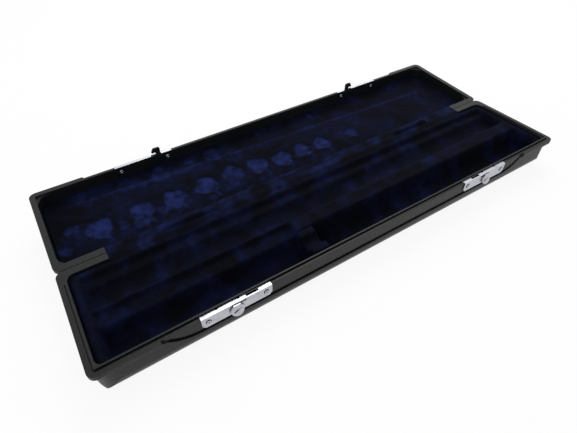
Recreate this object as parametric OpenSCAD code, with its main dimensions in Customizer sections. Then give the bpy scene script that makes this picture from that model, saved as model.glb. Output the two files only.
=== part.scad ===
// Flute case: a moulded clamshell with a velvet bed, two side-sliding latches and two rear hinges.
// The origin is the centre of the base's flat underside. X runs along the case, -Y is the latch side.
// The lid is drawn closed on the base and then swung back about the hinge axis to its open rest.

/* [Shells] */
// Length of the case over the rim
case_l = 400; // [360:1:440]
// Width of the case over the rim, latch side to hinge side
case_w = 83.5; // [76:0.5:96]
// Height of the base from the table to its rim
base_h = 26; // [25:0.5:36]
// Depth of the lid from its rim to its top
lid_h = 19; // [16:0.5:28]
// Radius of the rim's corners seen from above
rim_r = 5; // [3:0.5:7]
// Corner radius of the base's hollow, seen from above
body_r = 8; // [7:0.5:11]
// Corner radius of the shells' bodies below their rim bands, seen from above
corner_r = 12; // [9:0.5:13]
// Radius along the bottom edges of the base
base_foot_r = 12; // [8:0.5:14]
// Radius along the top edges of the lid
lid_foot_r = 10; // [6:0.5:12]
// How far the body lies in from the rim
body_inset = 1.2; // [0.8:0.1:1.5]
// Height of the band that runs round each rim
flange_h = 3; // [2.4:0.1:4]
// Thickness of the base's wall at the rim
base_wall = 5.6; // [5.5:0.1:6.5]
// Thickness of the base's floor
base_floor = 4; // [3:0.1:4.2]
// Thickness of the lid's wall at the rim
lid_wall = 4; // [3.9:0.05:4.1]
// Thickness of the lid's wall on the hinge side
lid_back_wall = 5.2; // [4.8:0.1:6]
// Thickness of the lid's wall above its rim
lid_side = 2.2; // [1.8:0.1:3]
// Thickness of the lid's top
lid_top = 2; // [1.6:0.1:3]
// Depth of the lid's thick rim
lid_rim_d = 8.5; // [8:0.1:10]

/* [Front recess] */
// Depth of the long recess that the latches sit in
recess_d = 1.8; // [1.6:0.1:2]
// Half length of the recess's straight bottom
recess_x = 137; // [130:1:145]
// Height of the recess below the rim
recess_h = 11.5; // [11:0.1:13]
// Radius of the sweep at each end of the recess
sweep_r = 30; // [18:1:34]
// Width of the crease along the bottom of the recess
crease_w = 2.2; // [1.5:0.1:2.4]
// Depth of the crease
crease_d = 3; // [2.4:0.1:3.4]

/* [Rim joint] */
// Distance of the groove from the rim's outer edge
groove_in = 3.3; // [3.1:0.1:3.5]
// Distance of the raised tongue from the rim's outer edge
tongue_in = 4.2; // [4.2:0.05:4.4]
// Thickness of the tongue
tongue_t = 1.1; // [0.8:0.1:1.2]
// Height of the tongue over the rim
tongue_h = 1.2; // [0.8:0.1:2]
// Depth of the groove
groove_d = 1; // [0.5:0.1:1.5]
// Bare stretch of rim in front of the hinge line, with no tongue
tongue_gap = 12; // [8:1:20]

/* [Opening] */
// Angle between the two rims when the lid is thrown back
open_angle = 176.3; // [150:0.1:180]
// Distance of the hinge axis behind the rim
hinge_gap = 0.3; // [0.3:0.05:0.6]

/* [Hinges] */
// Distance of each hinge's centre from the middle of the case
hinge_x = 108; // [60:1:130]
// Length of a hinge
hinge_l = 36; // [30:1:50]
// Radius of a knuckle
knuckle_r = 1.9; // [1.7:0.05:2]
// Radius of a hinge pin
pin_r = 0.9; // [0.7:0.05:1]
// Thickness of a hinge leaf
leaf_t = 0.8; // [0.6:0.1:0.9]
// Height of a hinge leaf from the axis
leaf_h = 10.5; // [9:0.1:11]
// How far the leaf's seat lies in from the rim
leaf_in = 1.9; // [1.9:0.05:2.1]
// Height of the hinge rivets from the axis
leaf_rivet_z = 6.6; // [6:0.1:7]

/* [Latches] */
// Distance of each latch's centre from the middle of the case
latch_x = 112; // [108:1:120]
// Length of a latch plate and of its keeper
plate_l = 48; // [46:1:52]
// Thickness of the plates
plate_t = 0.8; // [0.6:0.1:0.8]
// Height of the latch plate's front flange
plate_h = 8.9; // [8.6:0.1:9]
// Height of the keeper plate's front flange
keeper_h = 8; // [7.8:0.1:8.2]
// Length of a corner that is cut off a plate
plate_chamfer = 2.2; // [1.5:0.1:2.6]
// Distance of the rivets from the latch's centre
rivet_dx = 19.7; // [19.2:0.1:21]
// Height of the latch rivets under the rim
rivet_z = 4.4; // [4.2:0.1:4.6]
// Radius of a rivet's shank
rivet_r = 1.1; // [0.9:0.05:1.2]
// Radius of a rivet's head
rivet_head_r = 1.9; // [1.6:0.05:2]
// Height of a rivet's head
rivet_head_h = 0.5; // [0.3:0.05:0.6]
// Travel of a slider from open to locked
slide_travel = 4; // [3.5:0.1:4]
// Radius of a slider's finger disc
disc_r = 4.75; // [4:0.05:4.8]
// Thickness of the finger disc and of the slider
slider_t = 1; // [0.8:0.05:1]
// Angle that the disc's lower half is bent out by
disc_bend = 20; // [5:1:30]
// Width of the neck that carries the disc
neck_w = 5; // [4:0.1:5.2]
// Height of a hook over the lid's rim
hook_h = 6.5; // [6:0.1:6.8]
// Width of a hook's shank
hook_w = 4; // [3.5:0.1:4.1]
// Thickness of a hook
hook_t = 1.2; // [1:0.05:1.2]
// Reach of a hook's nose
nose_w = 3.4; // [3:0.1:3.5]

/* [Velvet] */
// Half length of the velvet strip over the hinge line
strip_x = 167; // [150:1:175]
// Thickness of the velvet strip
strip_t = 1; // [0.8:0.05:1]
// Depth of the velvet bed's top below the rim
bed_sink = 1.3; // [1.2:0.05:1.6]
// Thickness of the board under the velvet bed
board_t = 2; // [1.5:0.1:2.2]
// Radius of the channels for the tubes
tube_r = 11; // [10.5:0.1:11.2]
// Depth of the head and foot joints' axis below the rim
head_sink = 7.6; // [6.5:0.1:7.8]
// Distance of the head and foot joints' axis from the front rim
head_y = 19.5; // [19:0.1:20]
// Distance of the body joint's axis from the front rim
body_y = 55; // [54:0.5:57]
// Distance of the body joint's channel from the front rim
body_y0 = 45; // [44:0.5:46]
// Margin between the ends of a channel and the end of the case
channel_end = 13; // [12:0.5:18]
// Depth of the shelves for the keys
shelf_d = 5.5; // [4:0.1:6]
// Place of the block between the head and foot joints
block_x = -44; // [-60:1:-30]
// Length of that block
block_l = 13.5; // [10:0.5:20]
// Depth of the block's notch
notch_d = 5; // [3:0.5:7]
// Least thickness of the lid's pad
pad_t = 4; // [3:0.1:5]
// Rise of the pad's crown
pad_crown = 1.6; // [0.5:0.1:2.5]
// Rise of the pad's edge against the lid's walls
pad_edge = 4.2; // [3:0.1:4.3]

/* [Hidden] */
$fn = 64;

// Clearances
fit = 0.05;       // a rivet or pin in its hole
slip = 0.15;      // a piece that slides
seat_gap = 0.3;   // a soft piece beside a hard one
cut = 1;          // how far a cutting tool runs past a face

front_y = -case_w / 2;
back_y = case_w / 2;
axis_y = back_y + hinge_gap;
plate_sink = 0.1; // each plate lies this far under its rim
shell_color = [0.16, 0.165, 0.17];
velvet_color = [0.05, 0.055, 0.16];
nickel_color = [0.78, 0.78, 0.81];
steel_color = [0.2, 0.2, 0.21];

// Puts a piece of the lid, drawn closed, in its open place
module swung_open() {
    translate([0, axis_y, base_h]) rotate([-open_angle, 0, 0]) translate([0, -axis_y, -base_h])
        children();
}

// Draws a piece of the right side on the left side
module left_side() {
    mirror([1, 0, 0]) children();
}

// Turns something drawn rim up at z = 0 into the lid, closed on the base's rim
module onto_lid() {
    translate([0, 0, base_h]) mirror([0, 0, 1]) children();
}

// Puts something drawn with the rim at z = 0 on the base
module onto_base() {
    translate([0, 0, base_h]) children();
}

module rounded_rect(l, w, r) {
    square([l - 2 * r, w], center = true);
    square([l, w - 2 * r], center = true);
    for (sx = [-1, 1], sy = [-1, 1])
        translate([sx * (l / 2 - r), sy * (w / 2 - r)]) circle(r);
}

// A section that is open at the top, z = 0, and rounded along its bottom edges
module tub_section(w, h, r) {
    translate([-w / 2, r - h]) square([w, h - r]);
    translate([r - w / 2, -h]) square([w - 2 * r, h]);
    for (s = [-1, 1]) translate([s * (w / 2 - r), r - h]) circle(r);
}

// A solid tub, rim at z = 0: extrusions crossed, so that every edge radius is a true one
module tub(l, w, h, plan_r, foot_r) {
    // Two more lie along the diagonals and round the bottom corners
    diagonal = (l + w - 4 * plan_r) / sqrt(8) + plan_r + 0.6;
    intersection() {
        translate([0, 0, -h]) linear_extrude(h) rounded_rect(l, w, plan_r);
        rotate([90, 0, 90]) linear_extrude(l + 2, center = true) tub_section(w, h, foot_r);
        rotate([90, 0, 0]) linear_extrude(w + 2, center = true) tub_section(l, h, foot_r);
        for (a = [-45, 45]) rotate([90, 0, a]) linear_extrude(l + w, center = true)
            tub_section(2 * diagonal, h, foot_r);
    }
}

// The outside of a shell: the tapered tub and the band round its rim
module shell_outside(h, foot_r) {
    tub(case_l - 2 * body_inset, case_w - 2 * body_inset, h, corner_r, foot_r);
    translate([0, 0, -flange_h]) linear_extrude(flange_h) rounded_rect(case_l, case_w, rim_r);
}

// The front recess's outline in X and Z, grown inwards by in
module recess_outline(in) {
    translate([-recess_x, in - recess_h]) square([2 * recess_x, recess_h + cut]);
    intersection() {
        for (s = [-1, 1]) translate([s * recess_x, sweep_r - recess_h]) circle(sweep_r - in, $fn = 128);
        translate([-case_l / 2, -recess_h]) square([case_l, recess_h + cut]);
    }
}

module front_recess() {
    translate([0, front_y + recess_d, 0]) rotate([90, 0, 0])
        linear_extrude(recess_d + cut) recess_outline(0);
    translate([0, front_y + crease_d, 0]) rotate([90, 0, 0]) linear_extrude(crease_d + cut)
        intersection() {
            difference() {
                recess_outline(0);
                recess_outline(crease_w);
            }
            translate([-case_l / 2, -recess_h]) square([case_l, recess_h - flange_h]);
        }
}

// A ring that follows the rim, from a to b in from its edge, on the front and the two ends
module rim_ring(a, b) {
    difference() {
        rounded_rect(case_l - 2 * a, case_w - 2 * a, max(rim_r - a, 0.8));
        rounded_rect(case_l - 2 * b, case_w - 2 * b, max(rim_r - b, 0.4));
        translate([-case_l, back_y - tongue_gap]) square([2 * case_l, tongue_gap + cut]);
    }
}

leaf_z = leaf_h + fit;

// What both shells lose where a hinge sits, rim at z = 0
module hinge_notch() {
    translate([hinge_x - hinge_l / 2 - slip, back_y - leaf_in, -leaf_z])
        cube([hinge_l + 2 * slip, leaf_in + cut, leaf_z + cut]);
    translate([hinge_x, axis_y, 0]) rotate([0, 90, 0])
        cylinder(r = knuckle_r + seat_gap, h = hinge_l + 2 * slip, center = true);
    for (s = [-1, 1]) translate([hinge_x + s * leaf_rivet_dx, back_y, -leaf_rivet_z])
        rotate([90, 0, 0]) cylinder(r = rivet_r + fit, h = 2 * base_wall, center = true);
}

leaf_rivet_dx = hinge_l / 2 - 5;

// The low stretch of the back wall that the velvet strip lies on
strip_sink = strip_t + 0.2;
module strip_seat(wall) {
    translate([-strip_x, back_y - wall - cut, -strip_sink])
        cube([2 * strip_x, wall + 2 * cut, strip_sink + cut]);
}

/* Latch geometry on the right side, in from the front rim and down from it */
plate_out = recess_d - plate_t;                 // outer face of a plate's front flange
plate_in = tongue_in - 0.1;                     // inner edge of the latch plate's top flange
keeper_in = lid_wall - 0.4;                     // inner edge of the keeper's top flange
top_z = plate_sink + plate_t;                   // underside of a plate's top flange
slot_x0 = latch_x - plate_l / 2 + 9;            // inner end of the hook's slot
slot_l = 8.6;
slot_y0 = plate_out + plate_t + slip;           // front edge of the hook's slot
hook_y0 = slot_y0 + 0.35;                       // front face of a hook
slot_y1 = hook_y0 + hook_t + 0.3;
hook_x0 = slot_x0 + 0.4;                        // inner side of a hook's shank
slider_y1 = plate_in - 0.05;                    // inner edge of the slider
slider_z0 = top_z + 0.1;                        // top of the slider
slider_z1 = slider_z0 + slider_t;
pocket_z = slider_z1 + seat_gap;
catch_x = hook_x0 + hook_w + nose_w + 1.3;      // the slider's catch when it is open
slider_l = 16;
neck_x = latch_x + 1.2;                         // centre of the neck when it is open
disc_y = plate_out - seat_gap;                  // back face of the finger disc

module latch_pocket() {
    translate([latch_x - plate_l / 2 - slip, front_y - cut, -top_z])
        cube([plate_l + 2 * slip, plate_in + slip / 3 + cut, top_z + cut]);
    translate([catch_x - slide_travel - 1, front_y + recess_d - fit, -pocket_z])
        cube([slider_l + slide_travel + 1.4, plate_in + slip - recess_d, pocket_z]);
    translate([slot_x0 - 0.3, front_y + recess_d - fit, -hook_h - 1])
        cube([slot_l + 0.6, slot_y1 + 0.2 - recess_d, hook_h + 1]);
    rivet_holes(base_wall);
}

module rivet_holes(wall) {
    for (s = [-1, 1]) translate([latch_x + s * rivet_dx, front_y + wall / 2, -rivet_z])
        rotate([90, 0, 0]) cylinder(r = rivet_r + fit, h = wall + 2 * cut, center = true);
}

hook_foot_l = 20;
hook_foot_x = hook_x0 - 4;
module keeper_pocket() {
    translate([latch_x - plate_l / 2 - slip, front_y - cut, -top_z])
        cube([plate_l + 2 * slip, keeper_in + slip / 3 + cut, top_z + cut]);
    translate([hook_foot_x - fit, front_y + recess_d - fit, -top_z - hook_t - 0.1])
        cube([hook_foot_l + 2 * fit, hook_y0 + hook_t + 2 * fit - recess_d, top_z + hook_t + 0.1]);
    rivet_holes(lid_wall);
}

module base_shell() {
    color(shell_color) onto_base() {
        difference() {
            shell_outside(base_h, base_foot_r);
            tub(case_l - 2 * base_wall, case_w - 2 * base_wall, base_h - base_floor,
                max(body_r - 3, 3), base_foot_r - 3);
            translate([-case_l / 2 + base_wall, front_y + base_wall, -0.1])
                cube([case_l - 2 * base_wall, case_w - 2 * base_wall, cut]);
            front_recess();
            translate([0, 0, -groove_d]) linear_extrude(groove_d + cut) rim_ring(groove_in, tongue_in);
            strip_seat(base_wall);
            latch_pocket();
            left_side() latch_pocket();
            hinge_notch();
            left_side() hinge_notch();
        }
        translate([0, 0, -groove_d / 2]) linear_extrude(groove_d / 2 + tongue_h)
            rim_ring(tongue_in, tongue_in + tongue_t);
    }
}

module lid_shell() {
    cav_w = case_w - lid_wall - lid_back_wall;
    cav_y = (lid_wall - lid_back_wall) / 2;
    color(shell_color) swung_open() onto_lid() difference() {
        shell_outside(lid_h, lid_foot_r);
        translate([0, cav_y, -lid_rim_d]) linear_extrude(lid_rim_d + cut)
            rounded_rect(case_l - 2 * lid_wall, cav_w, corner_r + body_inset - lid_wall);
        // The tongue's square corners go in no deeper than the rim band
        translate([0, cav_y, -tongue_h - 0.6]) linear_extrude(tongue_h + 0.6 + cut)
            rounded_rect(case_l - 2 * lid_wall, cav_w, max(rim_r - lid_wall, 0.5));
        translate([0, 0, -lid_rim_d / 2]) tub(case_l - 2 * (body_inset + lid_side),
            case_w - 2 * (body_inset + lid_side), lid_h - lid_rim_d / 2 - lid_top, corner_r - lid_side,
            lid_foot_r - lid_side);
        front_recess();
        strip_seat(lid_back_wall);
        keeper_pocket();
        left_side() keeper_pocket();
        hinge_notch();
        left_side() hinge_notch();
    }
}

bed_l = case_l - 2 * base_wall - 2 * seat_gap - 0.4;
bed_w = case_w - 2 * base_wall - 2 * seat_gap - 0.4;
bed_r = max(body_r - 3, 3) - 0.5;
board_top = base_floor + 0.05 + board_t;

module bed_board() {
    inset = 2 * (base_foot_r - 3);
    color([0.35, 0.27, 0.19]) translate([0, 0, base_floor + 0.05])
        linear_extrude(board_t) rounded_rect(bed_l - inset, bed_w - inset, bed_r);
}

head_ya = front_y + head_y;
body_ya = front_y + body_y;
channel_x0 = -case_l / 2 + channel_end;
channel_x1 = case_l / 2 - channel_end;
divider_y = front_y + body_y0;
body_channel_w = case_w - body_y0 - base_wall - 6;

// A tube's channel: half round at the bottom and open to the top
module tube_channel(x0, x1, y, sink, r) {
    translate([x0, y, base_h - sink]) rotate([0, 90, 0]) cylinder(r = r, h = x1 - x0);
    translate([x0, y - r, base_h - sink]) cube([x1 - x0, 2 * r, sink + cut]);
}

module base_liner() {
    color(velvet_color) difference() {
        intersection() {
            onto_base() tub(bed_l, bed_w, base_h - base_floor - 0.4, bed_r, base_foot_r - 3.4);
            translate([-case_l / 2, -case_w / 2, board_top + 0.05])
                cube([case_l, case_w, base_h - bed_sink - board_top - 0.05]);
        }
        tube_channel(channel_x0, channel_x1, head_ya, head_sink, tube_r);
        tube_channel(channel_x0, channel_x1, body_ya, 0, tube_r);
        translate([channel_x0, divider_y, base_h - shelf_d])
            cube([channel_x1 - channel_x0, body_channel_w, shelf_d + cut]);
        translate([channel_x0, head_ya, base_h - shelf_d])
            cube([block_x - block_l / 2 - channel_x0, divider_y - head_ya - 3.4, shelf_d + cut]);
    }
}

module joint_block() {
    r = tube_r - seat_gap;
    color(velvet_color) difference() {
        intersection() {
            translate([block_x - block_l / 2, 0, 0])
                tube_channel(0, block_l, head_ya, head_sink, r);
            translate([block_x - block_l, front_y, 0]) cube([2 * block_l, case_w, base_h - bed_sink]);
        }
        translate([block_x, head_ya, base_h - bed_sink]) rotate([0, 90, 0])
            cylinder(r = notch_d, h = block_l + 2, center = true);
    }
}

// The lid's pad as a closed surface: a crowned top with a dished edge and a sewn ridge along it
pad_l = case_l - 2 * (body_inset + lid_side) - 2 * seat_gap - 1;
pad_w = case_w - 2 * (body_inset + lid_side) - 2 * seat_gap - 1;
pad_nx = 36;
pad_ny = 14;
pad_ridge_y = 0.22;
function smooth(t) = let(c = min(max(t, 0), 1)) c * c * (3 - 2 * c);
function pad_rise(u, v) =
    let(ex = (1 - abs(u)) * pad_l / 2, ey = (1 - abs(v)) * pad_w / 2, e = min(ex, ey))
    pad_edge * (1 - smooth(e / 9)) + pad_crown * (1 - v * v) * (1 - pow(u, 6))
    + 0.9 * exp(-pow((v + pad_ridge_y) * pad_w / 6, 2)) * smooth(e / 20);
// Grid places, closer together near the edges
function grid_at(i, n) = sin(90 * (2 * i / n - 1));

module lid_pad() {
    foot = lid_foot_r - lid_side - 0.3;
    corner = corner_r - lid_side - 0.8;
    // The outline's corners are pressed in to round ones
    function place(u, v) = let(
        x = u * pad_l / 2, y = v * pad_w / 2,
        dx = max(abs(x) - (pad_l / 2 - corner), 0), dy = max(abs(y) - (pad_w / 2 - corner), 0),
        k = max(dx, dy) / max(norm([dx, dy]), 0.001))
        [sign(x) * (abs(x) - dx * (1 - k)), sign(y) * (abs(y) - dy * (1 - k))];
    top = [for (j = [0:pad_ny], i = [0:pad_nx]) let(u = grid_at(i, pad_nx), v = grid_at(j, pad_ny),
        p = place(u, v)) [p.x, p.y, pad_t + pad_rise(u, v)]];
    low = [for (j = [0:pad_ny], i = [0:pad_nx]) let(u = grid_at(i, pad_nx), v = grid_at(j, pad_ny),
        p = place(u, v), e = min((1 - abs(u)) * pad_l / 2, (1 - abs(v)) * pad_w / 2),
        s = 1 - foot * (1 - smooth(e / 30)) * 2 / pad_w)
        [p.x * (1 - foot * 2 / pad_l * (1 - smooth(e / 30))), p.y * s, 0]];
    n = (pad_nx + 1) * (pad_ny + 1);
    function at(i, j) = j * (pad_nx + 1) + i;
    // A cell's two triangles, cut from its first corner or from its second
    function cell(a, b, c, d, first) = first ? [[a, b, c], [a, c, d]] : [[a, b, d], [b, c, d]];
    function to_corner(i, j) = (2 * i + 1 - pad_nx) * (2 * j + 1 - pad_ny) > 0;
    faces = concat(
        [for (j = [0:pad_ny - 1], i = [0:pad_nx - 1],
            f = cell(at(i, j), at(i, j + 1), at(i + 1, j + 1), at(i + 1, j), to_corner(i, j))) f],
        [for (j = [0:pad_ny - 1], i = [0:pad_nx - 1],
            f = cell(at(i, j), at(i + 1, j), at(i + 1, j + 1), at(i, j + 1), to_corner(i, j))) [n, n, n] + f],
        [for (i = [0:pad_nx - 1], f = cell(at(i, 0), at(i + 1, 0), n + at(i + 1, 0), n + at(i, 0), true)) f],
        [for (i = [0:pad_nx - 1], f = cell(at(i, pad_ny), n + at(i, pad_ny), n + at(i + 1, pad_ny),
            at(i + 1, pad_ny), true)) f],
        [for (j = [0:pad_ny - 1], f = cell(at(0, j), n + at(0, j), n + at(0, j + 1), at(0, j + 1), true)) f],
        [for (j = [0:pad_ny - 1], f = cell(at(pad_nx, j), at(pad_nx, j + 1), n + at(pad_nx, j + 1),
            n + at(pad_nx, j), true)) f]);
    color(velvet_color) swung_open() onto_lid()
        translate([0, 0, -lid_h + lid_top + seat_gap / 3]) polyhedron(concat(top, low), faces);
}

// The velvet over the hinge line is one cloth on the case: it is cut here where it folds
module hinge_velvet(wall, drop, end_gap) {
    difference() {
        union() {
            translate([-strip_x + 0.5, back_y - wall - end_gap, -strip_sink])
                cube([2 * strip_x - 1, wall + end_gap, strip_t]);
            if (drop > 0)
                translate([-strip_x + 0.5, back_y - wall - end_gap, -strip_sink - drop])
                    cube([2 * strip_x - 1, strip_t, drop + strip_t]);
        }
        for (s = [-1, 1])
            translate([s * hinge_x - hinge_l / 2 - 0.6, back_y - leaf_in - 0.3, -strip_sink - 1])
                cube([hinge_l + 1.2, leaf_in + 1, strip_t + 2]);
        for (s = [-1, 1], t = [-1, 1])
            translate([s * hinge_x + t * leaf_rivet_dx, back_y - wall, -leaf_rivet_z]) rotate([90, 0, 0])
                cylinder(r = rivet_end_r + seat_gap, h = 4 * strip_t, center = true);
    }
}

module base_hinge_velvet() {
    color(velvet_color) onto_base() hinge_velvet(base_wall, 0, 3);
}

module lid_hinge_velvet() {
    color(velvet_color) swung_open() onto_lid()
        hinge_velvet(lid_back_wall, lid_rim_d - strip_sink - 1, strip_t + 0.1);
}

// A front flange's outline in X and down from the rim, with its two lower corners cut off
module flange_outline(h) {
    c = plate_chamfer;
    polygon([[-plate_l / 2, -plate_sink], [plate_l / 2, -plate_sink], [plate_l / 2, c - h],
        [plate_l / 2 - c, -h], [c - plate_l / 2, -h], [-plate_l / 2, c - h]]);
}

// An L-shaped plate: a top flange that lies in the rim and a front flange in the recess
module folded_plate(h, inner) {
    difference() {
        union() {
            translate([latch_x, plate_out + plate_t, 0]) translate([0, front_y, 0]) rotate([90, 0, 0])
                linear_extrude(plate_t) flange_outline(h);
            translate([latch_x - plate_l / 2, front_y + plate_out, -top_z])
                cube([plate_l, inner - plate_out, plate_t]);
        }
        translate([slot_x0, front_y + slot_y0, -top_z - cut])
            cube([slot_l, slot_y1 - slot_y0, plate_t + 2 * cut]);
        rivet_holes(2 * base_wall);
    }
}

scallop_r = 1.4;
scallop_x = 14;
dimple_r = 1.3;
dimple_x = 12;
module latch_plate() {
    window_x = neck_x - slide_travel - neck_w / 2 - seat_gap;
    color(nickel_color) onto_base() difference() {
        folded_plate(plate_h, plate_in);
        translate([window_x, front_y + plate_out - cut, -pocket_z])
            cube([slide_travel + neck_w + 2 * seat_gap, plate_t + 2 * cut, pocket_z - top_z]);
        for (x = [scallop_x - 1.2, -1.4]) translate([latch_x + x, front_y + plate_in + 0.4, -top_z - cut])
            cylinder(r = scallop_r, h = plate_t + 2 * cut);
        for (s = [-1, 1])
            translate([neck_x + s * dimple_x, front_y + plate_out - dimple_r + 0.35, -rivet_z + 0.7])
                sphere(dimple_r);
    }
}

module slider() {
    color(nickel_color) onto_base() {
        difference() {
            translate([catch_x, front_y + recess_d + slip, -slider_z1])
                cube([slider_l, slider_y1 - recess_d - slip, slider_t]);
            translate([catch_x + slider_l, front_y + slider_y1, -slider_z1 - cut])
                cylinder(r = 1, h = slider_t + 2 * cut);
        }
        translate([neck_x - neck_w / 2, front_y + disc_y - slider_t, -slider_z1])
            cube([neck_w, recess_d + slip - disc_y + slider_t + 0.5, slider_t]);
        translate([neck_x, front_y + disc_y, -slider_z0 - disc_r - 0.1]) finger_disc();
    }
}

// The disc stands against the plate, and its lower half is bent out for a fingertip
module finger_disc() {
    intersection() {
        rotate([90, 0, 0]) cylinder(r = disc_r, h = slider_t);
        translate([-disc_r - 1, -slider_t - 1, -0.2]) cube([2 * disc_r + 2, slider_t + 2, disc_r + 1]);
    }
    rotate([-disc_bend, 0, 0]) intersection() {
        rotate([90, 0, 0]) cylinder(r = disc_r - 0.3, h = slider_t);
        translate([-disc_r - 1, -slider_t - 1, -disc_r - 1])
            cube([2 * disc_r + 2, slider_t + 2, disc_r + 1.3]);
    }
}

// A tubular rivet: a head on the plate, a shank and a rolled end behind the wall
rivet_end_r = rivet_r + 0.45;
module rivet(x, y_head, y_tail, z) {
    translate([x, y_head, z]) rotate([-90, 0, 0]) {
        translate([0, 0, -rivet_head_h]) cylinder(r1 = rivet_head_r - 0.5, r2 = rivet_head_r,
            h = rivet_head_h);
        difference() {
            union() {
                cylinder(r = rivet_r, h = y_tail - y_head + 0.35);
                translate([0, 0, y_tail - y_head]) cylinder(r = rivet_end_r, h = 0.35);
            }
            translate([0, 0, y_tail - y_head - 1.5]) cylinder(r = rivet_r - 0.45, h = 3);
        }
    }
}

module plate_rivets(wall) {
    for (s = [-1, 1])
        rivet(latch_x + s * rivet_dx, front_y + plate_out, front_y + wall, -rivet_z);
}

module latch_rivets() {
    color(nickel_color) onto_base() plate_rivets(base_wall);
}

module keeper_plate() {
    color(nickel_color) swung_open() onto_lid() folded_plate(keeper_h, keeper_in);
}

module keeper_rivets() {
    color(nickel_color) swung_open() onto_lid() plate_rivets(lid_wall);
}

// A hook's outline in X and up from the lid's rim: a shank with a nose that points outwards
module hook_outline() {
    tip = 1.6;
    polygon([[0, -top_z - fit], [hook_w, -top_z - fit], [hook_w, hook_h - 4.1],
        [hook_w + nose_w - 0.5, hook_h - 4.1], [hook_w + nose_w, hook_h - 3.4],
        [hook_w + tip, hook_h], [0.8, hook_h], [0, hook_h - 1]]);
}

module hook() {
    color(steel_color) swung_open() onto_lid() {
        translate([hook_x0, front_y + hook_y0 + hook_t, 0]) rotate([90, 0, 0])
            linear_extrude(hook_t) hook_outline();
        translate([hook_foot_x, front_y + recess_d + fit, -top_z - fit - hook_t])
            cube([hook_foot_l, hook_y0 + hook_t - recess_d - fit, hook_t]);
    }
}

knuckles = 5;
knuckle_gap = 0.2;
knuckle_l = (hinge_l - (knuckles - 1) * knuckle_gap) / knuckles;

// One leaf with its own knuckles, from the first-th on
module hinge_leaf(first) {
    neck = knuckle_r + seat_gap;
    difference() {
        union() {
            translate([hinge_x - hinge_l / 2, back_y - leaf_in, -leaf_h])
                cube([hinge_l, leaf_t, leaf_h - neck]);
            for (k = [first:2:knuckles - 1])
                translate([hinge_x - hinge_l / 2 + k * (knuckle_l + knuckle_gap), 0, 0]) {
                    translate([0, back_y - leaf_in, -leaf_h]) cube([knuckle_l, leaf_t, leaf_h]);
                    translate([0, axis_y, 0]) rotate([0, 90, 0]) cylinder(r = knuckle_r, h = knuckle_l);
                }
        }
        translate([hinge_x, axis_y, 0]) rotate([0, 90, 0])
            cylinder(r = pin_r + fit, h = hinge_l + 2, center = true);
        for (s = [-1, 1]) translate([hinge_x + s * leaf_rivet_dx, back_y, -leaf_rivet_z])
            rotate([90, 0, 0]) cylinder(r = rivet_r + fit, h = 10, center = true);
    }
}

module hinge_base_leaf() {
    color(nickel_color) onto_base() hinge_leaf(0);
}

module hinge_lid_leaf() {
    color(nickel_color) swung_open() onto_lid() hinge_leaf(1);
}

module hinge_pin() {
    color(steel_color) onto_base() translate([hinge_x, axis_y, 0]) rotate([0, 90, 0])
        cylinder(r = pin_r, h = hinge_l - 0.4, center = true);
}

// Hinge rivets: heads outside on the leaf, rolled ends inside
module leaf_rivets(wall) {
    for (s = [-1, 1]) translate([0, 2 * back_y - leaf_in + leaf_t, 0]) mirror([0, 1, 0])
        rivet(hinge_x + s * leaf_rivet_dx, back_y, back_y + wall - leaf_in + leaf_t, -leaf_rivet_z);
}

module hinge_base_rivets() {
    color(nickel_color) onto_base() leaf_rivets(base_wall);
}

module hinge_lid_rivets() {
    color(nickel_color) swung_open() onto_lid() leaf_rivets(lid_back_wall);
}

base_shell();
lid_shell();
bed_board();
base_liner();
joint_block();
lid_pad();
base_hinge_velvet();
lid_hinge_velvet();
left_side() latch_plate();  // left_latch_plate
latch_plate();  // right_latch_plate
left_side() slider();  // left_slider
slider();  // right_slider
left_side() latch_rivets();  // left_latch_rivets
latch_rivets();  // right_latch_rivets
left_side() keeper_plate();  // left_keeper_plate
keeper_plate();  // right_keeper_plate
left_side() hook();  // left_hook
hook();  // right_hook
left_side() keeper_rivets();  // left_keeper_rivets
keeper_rivets();  // right_keeper_rivets
left_side() hinge_base_leaf();  // left_hinge_base_leaf
hinge_base_leaf();  // right_hinge_base_leaf
left_side() hinge_lid_leaf();  // left_hinge_lid_leaf
hinge_lid_leaf();  // right_hinge_lid_leaf
left_side() hinge_pin();  // left_hinge_pin
hinge_pin();  // right_hinge_pin
left_side() hinge_base_rivets();  // left_hinge_base_rivets
hinge_base_rivets();  // right_hinge_base_rivets
left_side() hinge_lid_rivets();  // left_hinge_lid_rivets
hinge_lid_rivets();  // right_hinge_lid_rivets
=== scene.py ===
"""Looks of a hard-shell flute case, lying open: built round the case's CAD frame."""

import math

import bmesh
import bpy
import numpy as np
from bpy.props import FloatProperty, FloatVectorProperty, IntProperty, PointerProperty
from mathutils import Matrix, Vector
from mathutils.bvhtree import BVHTree


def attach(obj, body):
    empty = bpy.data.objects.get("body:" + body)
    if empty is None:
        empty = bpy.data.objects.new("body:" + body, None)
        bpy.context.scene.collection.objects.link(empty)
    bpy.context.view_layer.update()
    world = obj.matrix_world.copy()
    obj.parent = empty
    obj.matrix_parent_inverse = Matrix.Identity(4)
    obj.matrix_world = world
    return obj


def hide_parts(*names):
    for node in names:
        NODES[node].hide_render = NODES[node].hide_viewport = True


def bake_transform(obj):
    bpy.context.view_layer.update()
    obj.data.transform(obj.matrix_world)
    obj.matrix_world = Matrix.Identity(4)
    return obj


bl_info = {
    "name": "Flute Case",
    "version": (1, 0, 0),
    "blender": (4, 5, 0),
    "location": "3D View > Sidebar > Flute Case",
    "description": "Lining, finishes and fittings of a hard-shell flute case",
    "category": "Object",
}

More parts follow.
